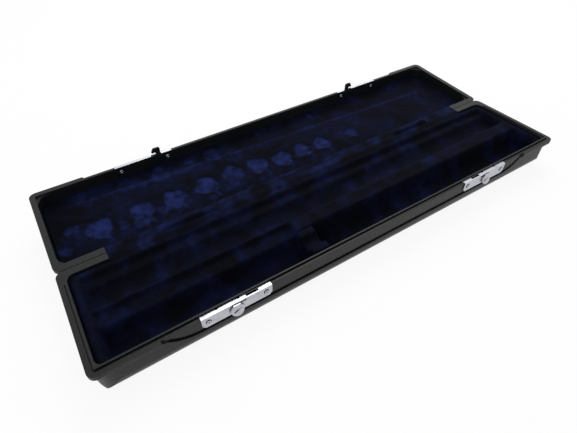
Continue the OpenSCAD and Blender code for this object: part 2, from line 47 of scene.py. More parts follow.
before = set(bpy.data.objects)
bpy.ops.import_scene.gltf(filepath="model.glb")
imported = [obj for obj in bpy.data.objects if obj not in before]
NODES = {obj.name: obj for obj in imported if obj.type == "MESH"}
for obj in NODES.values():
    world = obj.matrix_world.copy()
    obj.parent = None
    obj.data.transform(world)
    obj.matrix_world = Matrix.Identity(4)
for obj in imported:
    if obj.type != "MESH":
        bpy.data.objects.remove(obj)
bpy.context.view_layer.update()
SIDES = ("left", "right")

# Sizes of the case in millimetres, as the CAD source has them
MM = 0.001
RIM_Z = 26.0
HINGE_Y = 42.05
OPEN_ANGLE = math.radians(-176.3)
BED_X, BED_Y, BED_TOP = 193.9, 35.65, 24.7
BED_FLOOR = 6.1
BED_CORNER = 4.5
CHANNEL_X = 187.0
CHANNEL_R = 11.0
FRONT_Y, FRONT_Z = -22.25, 18.4
BACK_Y, BACK_Z = 13.25, 26.0
SHELF_Z = 20.5
BACK_SHELF = (3.25, 30.15)
LEFT_SHELF = (-22.25, -0.15)
BLOCK_X = (-50.75, -37.25)
NOTCH_R = 5.0
PAD_X, PAD_Y, PAD_BACK, PAD_CORNER = 195.8, 37.55, 42.7, 9.0
STRIP_X = 166.5
HINGE_X, KNUCKLE_R = 108.0, 1.9
LATCH_X, RIVET_DX, RIVET_DROP = 112.0, 19.7, 4.4
HINGE_RIVET_DX, HINGE_RIVET_DROP = 13.0, 6.6

# Where rivets come through: the plates' and leaves' faces, and the inner faces of the walls
PLATE_FACE_Y, LEAF_FACE_Y = -40.75, 40.65
BASE_WALL_Y, LID_FRONT_Y, LID_BACK_Y = 35.95, -37.6, 36.4
# Middle of a finger disc, how far back its face ends, and the turn and half size of its slot
DISC_X, DISC_Z, DISC_BACK_Y = 113.2, 20.15, -42.0
SLOT_TURN, SLOT_HALF = math.radians(19), (2.7, 0.42)
# Shares of the length and the width that the bed and the lid's pad keep at their undersides
BED_FOOT, PAD_FOOT = (0.955, 0.76), (0.962, 0.80)

# Camera of the photograph: place in metres, focal length, and its turn round the case, rise and roll in degrees
CAMERA_PLACE = (-0.16502, -0.18224, 0.23943)
CAMERA_LENS = 26.62
CAMERA_ANGLES = (-32.35, 44.03, -0.77)

# Hollows pressed into the lid's lining: X, distance from the hinge, radius, depth
PRESS_MARKS = (
    (-182, 43, 5.5, 0.6), (-190, 26, 4.5, 0.5), (-164, 35, 9.5, 1.0), (-131.5, 35, 9.5, 0.9),
    (-105, 35, 9.5, 1.1), (-78, 36, 9.5, 1.1), (-53, 38, 9.5, 0.7), (-30, 36.5, 9, 1.1),
    (-7, 33, 9, 1.1), (15.5, 34, 8.5, 0.9), (35, 33, 8, 0.9), (68, 32, 6, 0.7),
    (-135, 26, 6.5, 0.6), (-148, 29, 4.5, 0.4), (-118, 29, 4.5, 0.4), (-57, 28, 4, 0.3), (6, 29, 3, 0.3),
    (55, 76, 7, 0.3), (-57, 70, 7.5, 0.5), (-78, 72, 4, 0.4), (-104, 69, 8, 0.4),
)
# Lines in the same lining, as points of X and distance from the hinge
SEAM_LINE = ((-182, 69), (177, 51))
CREASE_LINE = ((-155, 29), (-28, 16), (65, 9), (181, 5))
PRESS_LINE = ((-175, 79), (-58, 57))


def srgb(code):
    """A colour written as an sRGB hex value, in linear light."""
    parts = [int(code[i : i + 2], 16) / 255 for i in (1, 3, 5)]
    return tuple(c / 12.92 if c <= 0.04045 else ((c + 0.055) / 1.055) ** 2.4 for c in parts)


def colour(title, text, code):
    return FloatVectorProperty(
        name=title, description=text, subtype="COLOR", size=3, min=0, max=1, default=srgb(code)
    )


def length(title, text, millimetres, least=0.0, most=20.0):
    return FloatProperty(
        name=title, description=text, unit="LENGTH", subtype="DISTANCE", precision=5,
        default=millimetres * MM, min=least * MM, max=most * MM,
    )


def share(title, text, value):
    return FloatProperty(name=title, description=text, subtype="FACTOR", default=value, min=0, max=1)


def power(title, text, watts):
    return FloatProperty(name=title, description=text, unit="POWER", default=watts, min=0)


class ShellSettings(bpy.types.PropertyGroup):
    shade: colour("Plastic", "Colour of the moulded shells", "#121315")
    worn: colour("Worn Plastic", "Colour where edges are rubbed", "#4c4d4f")
    grain: length("Grain", "Width of one pebble of the moulded leather grain", 1.3)
    wear: share("Wear", "How much the rubbed edges show", 0.35)


class VelvetSettings(bpy.types.PropertyGroup):
    shade: colour("Pile", "Colour of the velvet where its pile stands", "#04050c")
    lit: colour("Brushed Pile", "Colour where the pile lies over", "#1c2655")
    sheen: colour("Sheen", "Colour of the light along the pile's tips", "#2c3a94")
    pile: length("Pile Tuft", "Width of one tuft as it is drawn", 0.7)
    puff: length("Puff", "Most that the lid's padding swells", 1.2)
    fold: length("Wrinkles", "Height of the wrinkles in the lid's lining", 0.5)


class MetalSettings(bpy.types.PropertyGroup):
    nickel: colour("Nickel", "Colour of the plated latch parts", "#b9bac1")
    tarnish: colour("Tarnish", "Colour of the dull spots in the plating", "#7b7b80")
    # Painted shade: the dark colour laid into corners, round the rivets and into the sliders' slots
    painted_shade: colour("Grime", "Colour of the dirt in corners, slots and round rivets", "#1b1b1d")
    steel: colour("Hook Steel", "Colour of the blackened hooks and pins", "#3b3b3e")
    head: length("Rivet Head", "Radius of a rivet's head", 1.9)
    dome: length("Rivet Dome", "Height of a rivet's head over its plate", 0.55)
    tail: length("Rivet Tail", "Radius of a rivet's rolled end", 1.5)
    sides: IntProperty(name="Rivet Sides", description="Faces round a rivet", default=24, min=8, max=64)


class StageSettings(bpy.types.PropertyGroup):
    floor: colour("Floor", "Colour of the floor", "#f4f4f4")
    key: power("Key Light", "Power of the main lamp", 7.0)
    fill: power("Fill Light", "Power of the second lamp", 2.5)
    sky: share("Sky", "Brightness of the light from all round", 0.55)


def settings():
    return bpy.context.scene.flute_case


class CaseSettings(bpy.types.PropertyGroup):
    shell: PointerProperty(type=ShellSettings)
    velvet: PointerProperty(type=VelvetSettings)
    metal: PointerProperty(type=MetalSettings)
    stage: PointerProperty(type=StageSettings)


# Materials


def add(tree, kind, inputs=None, **options):
    """Adds a node with its options, and sets or links its inputs, each by name or number."""
    node = tree.nodes.new(kind)
    for key, value in options.items():
        setattr(node, key, value)
    for key, value in (inputs or {}).items():
        if isinstance(value, bpy.types.NodeSocket):
            tree.links.new(value, node.inputs[key])
        else:
            node.inputs[key].default_value = value
    return node


def new_material(name):
    material = bpy.data.materials.new(name)
    material.use_nodes = True
    tree = material.node_tree
    tree.nodes.clear()
    return material, tree


def opaque(colour3):
    return (*colour3, 1.0)


def maths(tree, operation, *values, **options):
    """The output of a Math node."""
    return add(tree, "ShaderNodeMath", dict(enumerate(values)), operation=operation, **options).outputs[0]


def noise(tree, place, scale, detail, distortion=0.0):
    """Cloudy noise from 0 to 1; scale is in clouds a metre."""
    inputs = {"Vector": place, "Scale": scale, "Detail": detail, "Distortion": distortion}
    return add(tree, "ShaderNodeTexNoise", inputs).outputs[0]


def ramp(tree, value, low, high, first=0.0, last=1.0):
    """A value stretched from low..high to first..last."""
    return add(tree, "ShaderNodeMapRange", {0: value, 1: low, 2: high, 3: first, 4: last}).outputs[0]


def bevel(tree, radius):
    """The face's normal with its edges rounded by that radius, in metres."""
    return add(tree, "ShaderNodeBevel", {"Radius": radius}, samples=6).outputs[0]


def bump(tree, height, strength, depth, normal=None):
    """A normal bent by a height from 0 to 1 that stands for a depth in metres."""
    inputs = {"Strength": strength, "Distance": depth, "Height": height}
    if normal is not None:
        inputs["Normal"] = normal
    return add(tree, "ShaderNodeBump", inputs).outputs[0]


def two_colours(tree, factor, first, second):
    node = add(tree, "ShaderNodeMix", {0: factor}, data_type="RGBA")
    for socket, value in ((node.inputs[6], first), (node.inputs[7], second)):
        if isinstance(value, bpy.types.NodeSocket):
            tree.links.new(value, socket)
        else:
            socket.default_value = opaque(value)
    return node.outputs[2]


def edge_mask(tree, reach):
    """0 on flat places and 1 on edges, from how far a softened edge turns away from the true face."""
    faces = {0: bevel(tree, reach), 1: add(tree, "ShaderNodeNewGeometry").outputs["Normal"]}
    alike = add(tree, "ShaderNodeVectorMath", faces, operation="DOT_PRODUCT").outputs["Value"]
    return ramp(tree, alike, 0.995, 0.80)


def painted_shade_mask(tree, reach):
    """1 in corners and round fixings, where shade falls, from how shut in a place is: a mask for painted shade."""
    open_sky = add(tree, "ShaderNodeAmbientOcclusion", {"Distance": reach}, samples=12)
    return ramp(tree, open_sky.outputs["AO"], 0.85, 0.35)


def finish_surface(tree, shader):
    add(tree, "ShaderNodeOutputMaterial", {"Surface": shader.outputs[0]})


def moulded_abs():
    """ABS moulded against a leather-grained tool: a dark satin plastic whose pebbles catch small glints,
    with smoother and paler edges where hands have rubbed it."""
    s = settings().shell
    material, tree = new_material("abs_leather_grain")
    place = add(tree, "ShaderNodeTexCoord").outputs["Object"]
    # Pebbles of uneven shape, from cells whose places are bent by noise
    bend = add(tree, "ShaderNodeTexNoise", {"Vector": place, "Scale": 0.35 / s.grain, "Detail": 2.0})
    warped = add(
        tree, "ShaderNodeVectorMath", {0: bend.outputs["Color"], 1: (s.grain * 0.9,) * 3, 2: place},
        operation="MULTIPLY_ADD",
    )
    cells = add(
        tree, "ShaderNodeTexVoronoi", {"Vector": warped.outputs[0], "Scale": 1 / s.grain}, feature="SMOOTH_F1"
    )
    pebbles = ramp(tree, cells.outputs["Distance"], 0.75, 0.15)
    fine = noise(tree, place, 1.6 / s.grain, 4.0)
    # Rubbed edges, broken by spots of about 15 mm
    patches = noise(tree, place, 9.0, 3.0)
    wear = edge_mask(tree, 0.9 * MM)
    spots = ramp(tree, noise(tree, place, 60.0, 6.0), 0.35, 0.7)
    amount = maths(tree, "MULTIPLY", maths(tree, "MULTIPLY", wear, spots), s.wear)
    dark = tuple(c * 0.72 for c in s.shade)
    light = tuple(min(1, c * 1.25) for c in s.shade)
    body = two_colours(tree, ramp(tree, patches, 0.3, 0.7), dark, light)
    tint = two_colours(tree, amount, body, s.worn)
    grain = bump(tree, pebbles, 0.55, 0.16 * MM, bevel(tree, 0.5 * MM))
    skin = bump(tree, fine, 0.3, 0.06 * MM, grain)
    shader = add(
        tree, "ShaderNodeBsdfPrincipled",
        {
            "Base Color": tint, "Roughness": ramp(tree, patches, 0, 1, 0.34, 0.5), "IOR": 1.54,
            "Specular IOR Level": 0.2, "Normal": skin,
        },
    )
    finish_surface(tree, shader)
    return material


def cotton_velvet():
    """Woven cotton velvet with a short upright pile: near black face on, blue where the pile leans over
    or has been pressed, and never glossy."""
    s = settings().velvet
    material, tree = new_material("cotton_velvet")
    place = add(tree, "ShaderNodeTexCoord").outputs["Object"]
    sweep = noise(tree, place, 38.0, 3.0, 0.8)
    brushed = noise(tree, place, 160.0, 3.0)
    tufts = noise(tree, place, 1 / s.pile, 2.0)
    # How far the pile lies over: what the piece's own marks say, and some sweeps of a hand, both broken up
    crush = add(tree, "ShaderNodeAttribute", attribute_name="crush").outputs["Fac"]
    swept = maths(tree, "MULTIPLY", ramp(tree, sweep, 0.45, 0.75), 0.35)
    broken = ramp(tree, brushed, 0.25, 0.65)
    lie = maths(tree, "MULTIPLY", maths(tree, "ADD", crush, swept), broken, use_clamp=True)
    tint = two_colours(tree, lie, s.shade, s.lit)
    speck = ramp(tree, tufts, 0, 1, 0.55, 1.35)
    tint = add(tree, "ShaderNodeVectorMath", {0: tint, "Scale": speck}, operation="SCALE").outputs[0]
    shader = add(
        tree, "ShaderNodeBsdfPrincipled",
        {
            "Base Color": tint, "Roughness": ramp(tree, brushed, 0, 1, 0.78, 0.95), "Specular IOR Level": 0.05,
            "Sheen Weight": 0.13, "Sheen Roughness": 0.35, "Sheen Tint": opaque(s.sheen),
            "Normal": bump(tree, tufts, 0.5, 0.3 * MM),
        },
    )
    finish_surface(tree, shader)
    return material


def bare_metal(tree, tint, rough, normal):
    finish_surface(
        tree,
        add(
            tree, "ShaderNodeBsdfPrincipled",
            {"Base Color": tint, "Metallic": 1.0, "Roughness": rough, "Normal": normal},
        ),
    )


def nickel(name, shadow=None):
    """Satin nickel plate on stamped steel: a pale grey metal with fine rolling lines and a few dull spots.
    The shadow, if any, is a function for a 0..1 mask of where it is sunk and dark, and is painted in as shade.
    Corners are painted darker as shade too."""
    s = settings().metal
    material, tree = new_material(name)
    place = add(tree, "ShaderNodeTexCoord").outputs["Object"]
    # The rolling lines run along the case. They are about 0.05 mm wide and are drawn at 0.4 mm, to show.
    stretched = add(tree, "ShaderNodeMapping", {"Vector": place, "Scale": (0.06, 1.0, 1.0)}).outputs[0]
    lines = noise(tree, stretched, 2500.0, 2.0)
    clouds = noise(tree, place, 220.0, 5.0)
    dull = maths(tree, "MULTIPLY", ramp(tree, clouds, 0.52, 0.8), 0.6)
    tint = two_colours(tree, dull, s.nickel, s.tarnish)
    # Painted shade: darker in corners and round the fixings, from how shut in a place is
    tint = two_colours(tree, painted_shade_mask(tree, 1.4 * MM), tint, s.painted_shade)
    if shadow:
        # Painted shadow where the shadow mask says the part is sunk
        tint = two_colours(tree, shadow(tree, place), tint, s.painted_shade)
    rolled = bump(tree, lines, 0.2, 0.03 * MM, bevel(tree, 0.25 * MM))
    bare_metal(tree, tint, ramp(tree, clouds, 0, 1, 0.28, 0.46), rolled)
    return material


def rivet_shadow(tree, place):
    """1 in the ring round a rivet's head and in the pit at its middle. The head's own attribute says how far
    from its axis a point is, from 0 to 1."""
    away = add(tree, "ShaderNodeAttribute", attribute_name="from_axis").outputs["Fac"]
    return maths(tree, "MAXIMUM", ramp(tree, away, 0.66, 0.8), ramp(tree, away, 0.34, 0.24))


def slot_shadow(tree, place):
    """1 in the slanted slot across a finger disc's face."""
    part = add(tree, "ShaderNodeSeparateXYZ", {0: place}).outputs
    side = maths(tree, "SIGN", part["X"])
    from_x = maths(tree, "MULTIPLY_ADD", side, -DISC_X * MM, part["X"])
    from_z = maths(tree, "SUBTRACT", part["Z"], DISC_Z * MM)
    flat = add(tree, "ShaderNodeCombineXYZ", {"X": from_x, "Z": from_z}).outputs[0]
    c, s = math.cos(SLOT_TURN), math.sin(SLOT_TURN)
    soft = 0.12 * MM
    mask = ramp(tree, part["Y"], (DISC_BACK_Y + 0.1) * MM, (DISC_BACK_Y - 0.1) * MM)
    for axis, half in (((c, 0, s), SLOT_HALF[0]), ((-s, 0, c), SLOT_HALF[1])):
        dot = add(tree, "ShaderNodeVectorMath", {0: flat, 1: axis}, operation="DOT_PRODUCT").outputs["Value"]
        inside = ramp(tree, maths(tree, "ABSOLUTE", dot), half * MM + soft, half * MM - soft)
        mask = maths(tree, "MULTIPLY", mask, inside)
    return mask


def plated_nickel():
    """Latch plates, keepers and hinge leaves."""
    return nickel("nickel_plated_steel")


def rivet_nickel():
    """The rivets, each with a ring of painted shadow round its head and a painted shaded pit at its middle."""
    return nickel("nickel_plated_rivet", rivet_shadow)


def slotted_nickel():
    """The sliders, each with a slot painted dark as shade across its finger disc."""
    return nickel("nickel_plated_slider", slot_shadow)


def blackened_steel():
    """Spring steel with a black oxide finish: dark, half matt, brighter where the latch has rubbed its edges."""
    s = settings().metal
    material, tree = new_material("blackened_spring_steel")
    place = add(tree, "ShaderNodeTexCoord").outputs["Object"]
    clouds = noise(tree, place, 500.0, 4.0)
    wear = maths(tree, "MULTIPLY", edge_mask(tree, 0.3 * MM), clouds)
    tint = two_colours(tree, wear, s.steel, s.tarnish)
    bare_metal(tree, tint, ramp(tree, clouds, 0, 1, 0.35, 0.6), bump(tree, clouds, 0.25, 0.05 * MM))
    return material


def fibre_board():
    """Pressed wood-fibre board under the velvet: dull brown with short fibres of about half a millimetre."""
    material, tree = new_material("wood_fibre_board")
    place = add(tree, "ShaderNodeTexCoord").outputs["Object"]
    fibres = noise(tree, place, 1800.0, 4.0, 1.5)
    tint = two_colours(tree, fibres, srgb("#4a3826"), srgb("#8a6c4c"))
    rough = ramp(tree, fibres, 0, 1, 0.75, 0.95)
    normal = bump(tree, fibres, 0.4, 0.1 * MM)
    finish_surface(
        tree, add(tree, "ShaderNodeBsdfPrincipled", {"Base Color": tint, "Roughness": rough, "Normal": normal})
    )
    return material


def material_of(make):
    """The material that make() builds, built once."""
    made = material_of.made
    if make not in made:
        made[make] = make()
    return made[make]


material_of.made = {}


# Shapes


def opened(points):
    """Points of the shut lid, in millimetres, swung to where the open lid lies."""
    p = np.asarray(points, float).copy()
    y, z = p[:, 1] - HINGE_Y, p[:, 2] - RIM_Z
    c, s = math.cos(OPEN_ANGLE), math.sin(OPEN_ANGLE)
    p[:, 1], p[:, 2] = HINGE_Y + y * c - z * s, RIM_Z + y * s + z * c
    return p


def shut(points):
    """The same the other way round."""
    p = np.asarray(points, float).copy()
    y, z = p[:, 1] - HINGE_Y, p[:, 2] - RIM_Z
    c, s = math.cos(-OPEN_ANGLE), math.sin(-OPEN_ANGLE)
    p[:, 1], p[:, 2] = HINGE_Y + y * c - z * s, RIM_Z + y * s + z * c
    return p


def smooth(t):
    t = np.clip(t, 0, 1)
    return t * t * (3 - 2 * t)


def ripples(x, y, width, seed):
    """Soft irregular waves of about that width, from -1 to 1."""
    rng = np.random.default_rng(seed)
    total = np.zeros_like(x)
    for _ in range(14):
        turn, size = rng.uniform(0, 2 * math.pi), width * rng.uniform(0.7, 1.5)
        total += np.sin((x * math.cos(turn) + y * math.sin(turn)) * 2 * math.pi / size + rng.uniform(0, 6.28))
    return total / 5


def blur(grid, reach):
    """A grid of heights softened along both its directions; reach is in cells."""
    for axis, cells in enumerate(reach):
        n = max(1, math.ceil(3 * cells))
        kernel = np.exp(-0.5 * (np.arange(-n, n + 1) / cells) ** 2)
        kernel /= kernel.sum()
        padded = np.pad(grid, [(n, n) if a == axis else (0, 0) for a in (0, 1)], mode="edge")
        grid = np.apply_along_axis(lambda row: np.convolve(row, kernel, "valid"), axis, padded)
    return grid


def new_object(name, points, faces, make, attributes=None):
    """A smooth piece from points in millimetres, with its faces turned outwards."""
    mesh = bpy.data.meshes.new(name)
    mesh.from_pydata((np.asarray(points) * MM).tolist(), [], faces)
    for key, values in (attributes or {}).items():
        mesh.attributes.new(key, "FLOAT", "POINT").data.foreach_set("value", np.asarray(values, np.float32))
    work = bmesh.new()
    work.from_mesh(mesh)
    bmesh.ops.recalc_face_normals(work, faces=work.faces)
    work.to_mesh(mesh)
    work.free()
    mesh.polygons.foreach_set("use_smooth", [True] * len(mesh.polygons))
    mesh.materials.append(material_of(make))
    piece = bpy.data.objects.new(name, mesh)
    bpy.context.scene.collection.objects.link(piece)
    return piece


def slab_faces(nx, ny):
    """Faces of a closed slab whose top and bottom are both grids of nx by ny points."""
    n = nx * ny
    at = np.arange(n).reshape(nx, ny)
    a, b, c, d = at[:-1, :-1], at[1:, :-1], at[1:, 1:], at[:-1, 1:]
    top = np.stack([a, b, c, d], -1).reshape(-1, 4)
    faces = np.concatenate([top, top[:, ::-1] + n]).tolist()
    rim = [*at[:, 0], *at[-1, 1:], *at[-2::-1, -1], *at[0, -2:0:-1]]
    for i, p in enumerate(rim):
        q = rim[(i + 1) % len(rim)]
        faces.append([int(q), int(p), int(p + n), int(q + n)])
    return faces


def round_corners(x, y, half_x, half_y, radius):
    """A rectangle's points with its corners pressed in to round ones."""
    dx = np.maximum(np.abs(x) - (half_x - radius), 0)
    dy = np.maximum(np.abs(y) - (half_y - radius), 0)
    k = np.maximum(dx, dy) / np.maximum(np.hypot(dx, dy), 1e-6)
    return np.sign(x) * (np.abs(x) - dx * (1 - k)), np.sign(y) * (np.abs(y) - dy * (1 - k))


def bed_height(x, y):
    """Height of the bed's hard form, with its two long channels and the shelves beside them."""
    z = np.full(x.shape, BED_TOP)
    along = np.abs(x) < CHANNEL_X
    for axis_y, axis_z in ((FRONT_Y, FRONT_Z), (BACK_Y, BACK_Z)):
        dy = y - axis_y
        hollow = axis_z - np.sqrt(np.maximum(CHANNEL_R**2 - dy**2, 0))
        z = np.where(along & (np.abs(dy) < CHANNEL_R), np.minimum(z, hollow), z)
    z = np.where(along & (y > BACK_SHELF[0]) & (y < BACK_SHELF[1]), np.minimum(z, SHELF_Z), z)
    low = along & (x < BLOCK_X[0]) & (y > LEFT_SHELF[0]) & (y < LEFT_SHELF[1])
    return np.where(low, np.minimum(z, SHELF_Z), z)


def grid_of(x0, x1, y0, y1, step_x, step_y):
    nx, ny = round((x1 - x0) / step_x) + 1, round((y1 - y0) / step_y) + 1
    return np.meshgrid(np.linspace(x0, x1, nx), np.linspace(y0, y1, ny), indexing="ij")


def stacked(x, y, z):
    return np.stack([x.ravel(), y.ravel(), np.broadcast_to(z, x.shape).ravel()], -1)


class FLUTECASE_OT_shells(bpy.types.Operator):
    """Gives the two moulded shells and the bed's board their finishes"""

    bl_idname = "flute_case.shells"
    bl_label = "Shells"

    def execute(self, context):
        for name in ("base_shell", "lid_shell"):
            NODES[name].material_slots[0].material = material_of(moulded_abs)
        NODES["bed_board"].material_slots[0].material = material_of(fibre_board)
        return {"FINISHED"}


class FLUTECASE_OT_bed(bpy.types.Operator):
    """Builds the velvet bed with its channels, and the block that stands across the front one"""

    bl_idname = "flute_case.bed"
    bl_label = "Velvet Bed"

    def execute(self, context):
        x, y = grid_of(-BED_X, BED_X, -BED_Y, BED_Y, 1.4, 0.75)
        edge = np.minimum(BED_X - np.abs(x), BED_Y - np.abs(y))
        z = blur(bed_height(x, y), (0.8, 1.1))
        # The velvet turns down into the gap along the walls, and isn't quite even
        z = z - 0.9 * np.maximum(1 - edge / 2.2, 0) ** 2 + 0.12 * ripples(x, y, 17, 3)
        crush = smooth(0.5 * ripples(x, y, 26, 8) + 0.1) * 0.35
        px, py = round_corners(x, y, BED_X, BED_Y, BED_CORNER)
        foot = stacked(px * BED_FOOT[0], py * BED_FOOT[1], BED_FLOOR)
        bed = new_object(
            "bed_velvet", np.concatenate([stacked(px, py, z), foot]), slab_faces(*x.shape), cotton_velvet,
            {"crush": np.tile(crush.ravel(), 2)},
        )
        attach(bed, "base")
        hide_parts("base_liner")

        x, y = grid_of(*BLOCK_X, FRONT_Y - CHANNEL_R + 0.2, FRONT_Y + CHANNEL_R - 0.2, 0.6, 0.6)
        notch = BED_TOP - np.sqrt(np.maximum(NOTCH_R**2 - (y - FRONT_Y) ** 2, 0))
        side = np.minimum(x - BLOCK_X[0], BLOCK_X[1] - x)
        # Its two upper edges are rounded over by the cloth
        z = blur(notch, (0.8, 0.8)) - 1.3 * np.maximum(1 - side / 1.6, 0) ** 2
        low = np.minimum(bed_height(x, y) - 0.7, z - 0.5)
        points = np.concatenate([stacked(x, y, z), stacked(x, y, low)])
        block = new_object("block_velvet", points, slab_faces(*x.shape), cotton_velvet)
        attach(block, "base")
        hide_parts("joint_block")
        return {"FINISHED"}


def near_line(x, v, line, reach):
    """1 on a line of (X, distance from the hinge) points and falling to 0 with the distance from it."""
    xs, vs = zip(*line)
    away = v - np.interp(x, xs, vs)
    inside = smooth((x - xs[0]) / 12) * smooth((xs[-1] - x) / 12)
    return np.exp(-((away / reach) ** 2)) * inside


def cast_tree(points, faces):
    """A tree to cast rays at, of a mesh of the open lid, in the shut lid's place and in millimetres."""
    return BVHTree.FromPolygons([Vector(p) for p in shut(points / MM)], faces)


def height_over(tree, x, y):
    """Height of the first surface over a place, or None."""
    hit = tree.ray_cast(Vector((x, y, 10)), Vector((0, 0, 1)))[0]
    return None if hit is None else hit.z


def vertices_of(mesh):
    return np.array([v.co for v in mesh.vertices])


def swollen_pad(travel):
    """Trees of the lid's pad as cut, of a coarse copy of it, and of that copy blown up by a short cloth
    simulation. Its seams along the walls are held, and no point of it moves more than travel."""
    pad = bpy.data.objects.new("pad_cloth", NODES["lid_pad"].data.copy())
    bpy.context.scene.collection.objects.link(pad)
    work = bmesh.new()
    work.from_mesh(pad.data)
    bmesh.ops.remove_doubles(work, verts=work.verts, dist=1e-6)
    work.to_mesh(pad.data)
    work.free()
    trees = [cast_tree(vertices_of(pad.data), [tuple(f.vertices) for f in pad.data.polygons])]
    pad.modifiers.new("Voxels", "REMESH").voxel_size = 2.7 * MM
    pad.data = bpy.data.meshes.new_from_object(pad.evaluated_get(bpy.context.evaluated_depsgraph_get()))
    pad.modifiers.clear()
    rest = vertices_of(pad.data)
    flat = shut(rest / MM)
    edge = np.minimum(PAD_X - np.abs(flat[:, 0]), PAD_Y - np.abs(flat[:, 1]))
    seam, glued = 4, PAD_BACK - 1.5
    held = pad.vertex_groups.new(name="held")
    held.add([i for i in range(len(flat)) if edge[i] < seam or flat[i, 2] > glued], 1.0, "REPLACE")
    cloth = pad.modifiers.new("Cloth", "CLOTH")
    cloth.settings.quality = 4
    cloth.settings.use_pressure = True
    cloth.settings.uniform_pressure_force = 4.0
    cloth.settings.effector_weights.gravity = 0.0
    cloth.settings.vertex_group_mass = "held"
    frames = 20
    for step in range(1, frames + 1):
        bpy.context.scene.frame_set(step)
    swollen = vertices_of(pad.evaluated_get(bpy.context.evaluated_depsgraph_get()).to_mesh())
    bpy.context.scene.frame_set(1)
    moved = swollen - rest
    moved *= min(1, travel / max(np.linalg.norm(moved, axis=1).max(), 1e-9))
    faces = [tuple(f.vertices) for f in pad.data.polygons]
    trees += [cast_tree(rest, faces), cast_tree(rest + moved, faces)]
    bpy.data.objects.remove(pad)
    return trees


class FLUTECASE_OT_lid_lining(bpy.types.Operator):
    """Builds the lid's padded velvet lining, with the marks that use has pressed into it"""

    bl_idname = "flute_case.lid_lining"
    bl_label = "Lid Lining"

    def execute(self, context):
        s = settings().velvet
        cut, *swelling = swollen_pad(s.puff)
        x, y = grid_of(-PAD_X, PAD_X, -PAD_Y, PAD_Y, 1.1, 0.9)
        px, py = round_corners(x, y, PAD_X, PAD_Y, PAD_CORNER)
        z = np.empty_like(x)
        # Rays go up from a little inside the pad's edge, so that they don't miss it
        in_x, in_y = 1 - 3 / PAD_X, 1 - 2 / PAD_Y
        for i in np.ndindex(x.shape):
            place = px[i] * in_x, py[i] * in_y
            z[i] = height_over(cut, *place)
            before, after = (height_over(tree, *place) for tree in swelling) if swelling else (None, None)
            if before and after:
                z[i] += after - before
        z = blur(z, (1.6, 1.6))
        v = HINGE_Y - y
        sag, crush = np.zeros_like(x), np.zeros_like(x)
        for mark_x, mark_v, radius, depth in PRESS_MARKS:
            turn = np.arctan2(v - mark_v, x - mark_x)
            edge = radius * (1 + 0.09 * np.sin(3 * turn + mark_x) + 0.05 * np.sin(5 * turn + mark_v))
            away = np.hypot(x - mark_x, v - mark_v) / edge
            brim = 0.25 * np.exp(-(((away - 1.25) / 0.22) ** 2))
            sag += depth * (1 - smooth((away - 0.72) / 0.5) - brim)
            crush = np.maximum(crush, depth * (1 - smooth((away - 0.85) / 0.25)))
            # The short tail that each mark has towards the hinge
            tail = np.abs((x - mark_x) * 0.95 - (mark_v - v) * 0.3) / 1.1
            reach = smooth((mark_v - v) / 3) * smooth((radius * 1.9 - (mark_v - v)) / 3)
            crush = np.maximum(crush, 0.45 * depth * np.exp(-(tail**2)) * reach)
        fold = s.fold / MM
        seam = near_line(x, v, SEAM_LINE, 2.2)
        creased = near_line(x, v, CREASE_LINE, 6.0)
        pressed = near_line(x, v, PRESS_LINE, 7.0)
        creases = np.sin(x * 0.55 + 1.8 * ripples(x, v, 40, 5)) * creased
        rise = 1.1 * fold * seam + fold * creases * 0.6 - 0.7 * fold * pressed
        rise += 0.35 * fold * ripples(x, v, 30, 11) + 0.12 * fold * ripples(x, v, 9, 12)
        # Thin lines where the pile has parted along a crease
        threads = np.exp(-((ripples(x * 0.35, v, 7, 23) / 0.16) ** 2))
        crush += 0.4 * creased * smooth(0.2 + 0.8 * ripples(x, v, 12, 21)) + 0.34 * seam + 0.2 * pressed
        crush += 0.24 * threads * smooth(0.2 + ripples(x, v, 45, 24))
        crush = np.clip(crush + 0.08 * smooth(ripples(x, v, 34, 31)), 0, 1)
        z = z + sag - rise
        points = np.concatenate([stacked(px, py, z), stacked(px * PAD_FOOT[0], py * PAD_FOOT[1], PAD_BACK)])
        lining = new_object(
            "lid_lining", opened(points), slab_faces(*x.shape), cotton_velvet,
            {"crush": np.tile(crush.ravel(), 2)},
        )
        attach(lining, "lid")
        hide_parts("lid_pad")
        return {"FINISHED"}


def resampled(path, step):
    """A line of points walked at even steps."""
    path = np.asarray(path, float)
    run = np.concatenate([[0], np.cumsum(np.linalg.norm(np.diff(path, axis=0), axis=1))])
    at = np.linspace(0, run[-1], round(run[-1] / step) + 1)
    return np.stack([np.interp(at, run, path[:, i]) for i in (0, 1)], -1)


